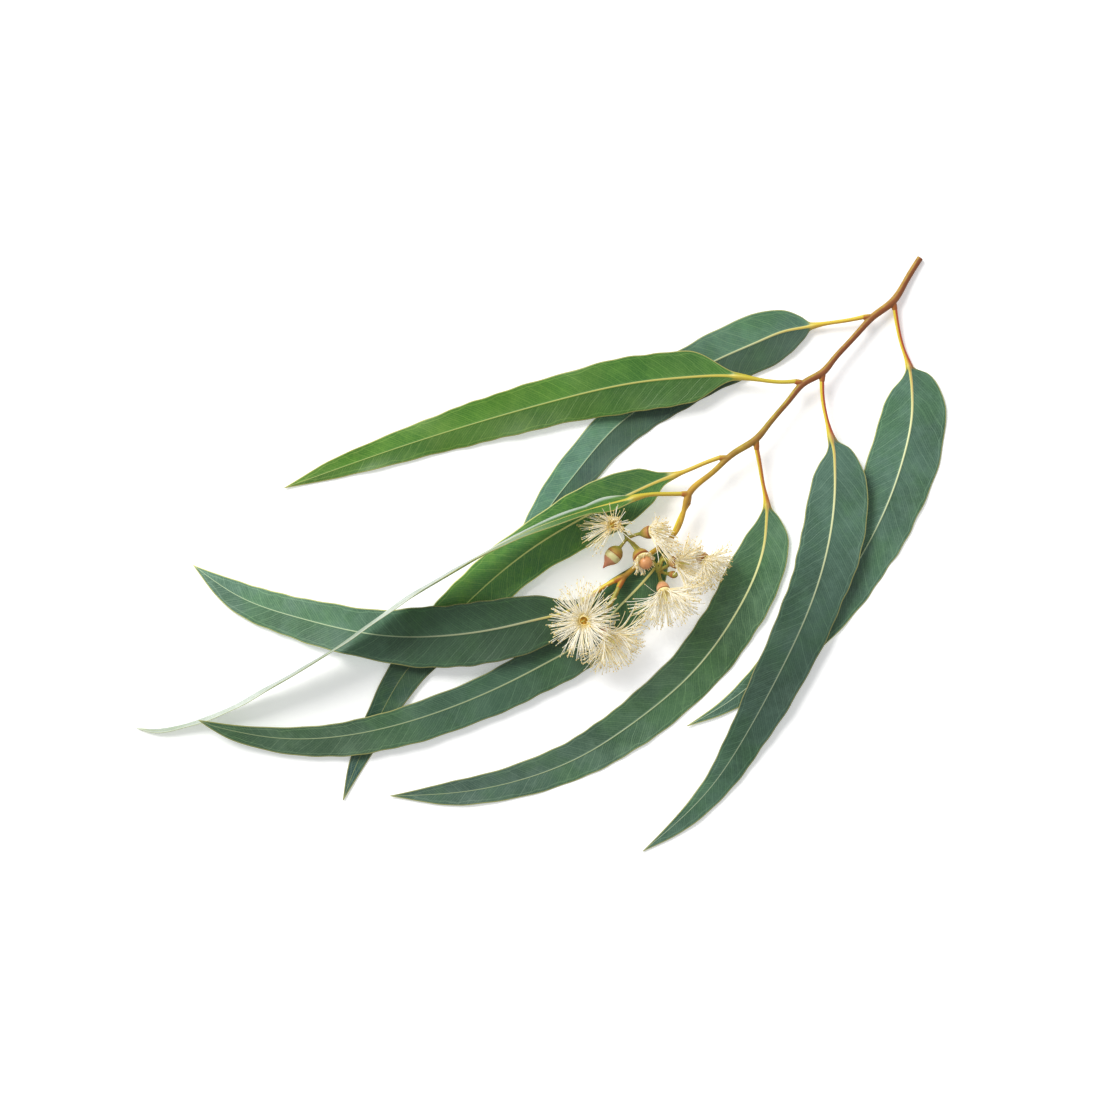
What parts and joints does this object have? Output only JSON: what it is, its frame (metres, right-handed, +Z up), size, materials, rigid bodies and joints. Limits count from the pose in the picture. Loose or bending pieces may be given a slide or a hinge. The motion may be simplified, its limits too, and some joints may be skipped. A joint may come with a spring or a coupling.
{
  "type": "eucalyptus sprig",
  "caption": "Cut eucalyptus sprig lying flat: zigzag twig with long sickle leaves, cream brush flowers in bunches and capped buds.",
  "frame": {"origin": "centre of the bounding box, on the surface that the sprig lies on", "axes": "+X along the longest side, towards the cut end of the twig; +Y across it, towards the cut end; +Z up from the surface"},
  "size_m": [0.2831, 0.2085, 0.0255],
  "materials": {
    "leaf_teal": "satin",
    "leaf_grey_blue": "matte",
    "leaf_bright": "satin",
    "leaf_green": "satin",
    "twig": "satin",
    "flower_cup": "satin",
    "stamens": "matte",
    "bud_cap": "satin"
  },
  "bodies": {
    "root": {"leaf_1": "leaf_teal", "leaf_2": "leaf_teal", "leaf_3": "leaf_teal", "leaf_4": "leaf_grey_blue", "leaf_5": "leaf_bright", "leaf_6": "leaf_green", "leaf_7": "leaf_bright", "leaf_8": "leaf_teal", "leaf_9": "leaf_teal", "twig": "twig", "umbel_a": "flower_cup", "umbel_b": "flower_cup", "umbel_c": "flower_cup", "stamens_1": "stamens", "stamens_2": "stamens", "stamens_3": "stamens", "stamens_4": "stamens", "stamens_5": "stamens", "stamens_6": "stamens", "stamens_7": "stamens", "stamens_8": "stamens", "bud_cap_1": "bud_cap", "bud_cap_2": "bud_cap"}
  },
  "joints": []
}
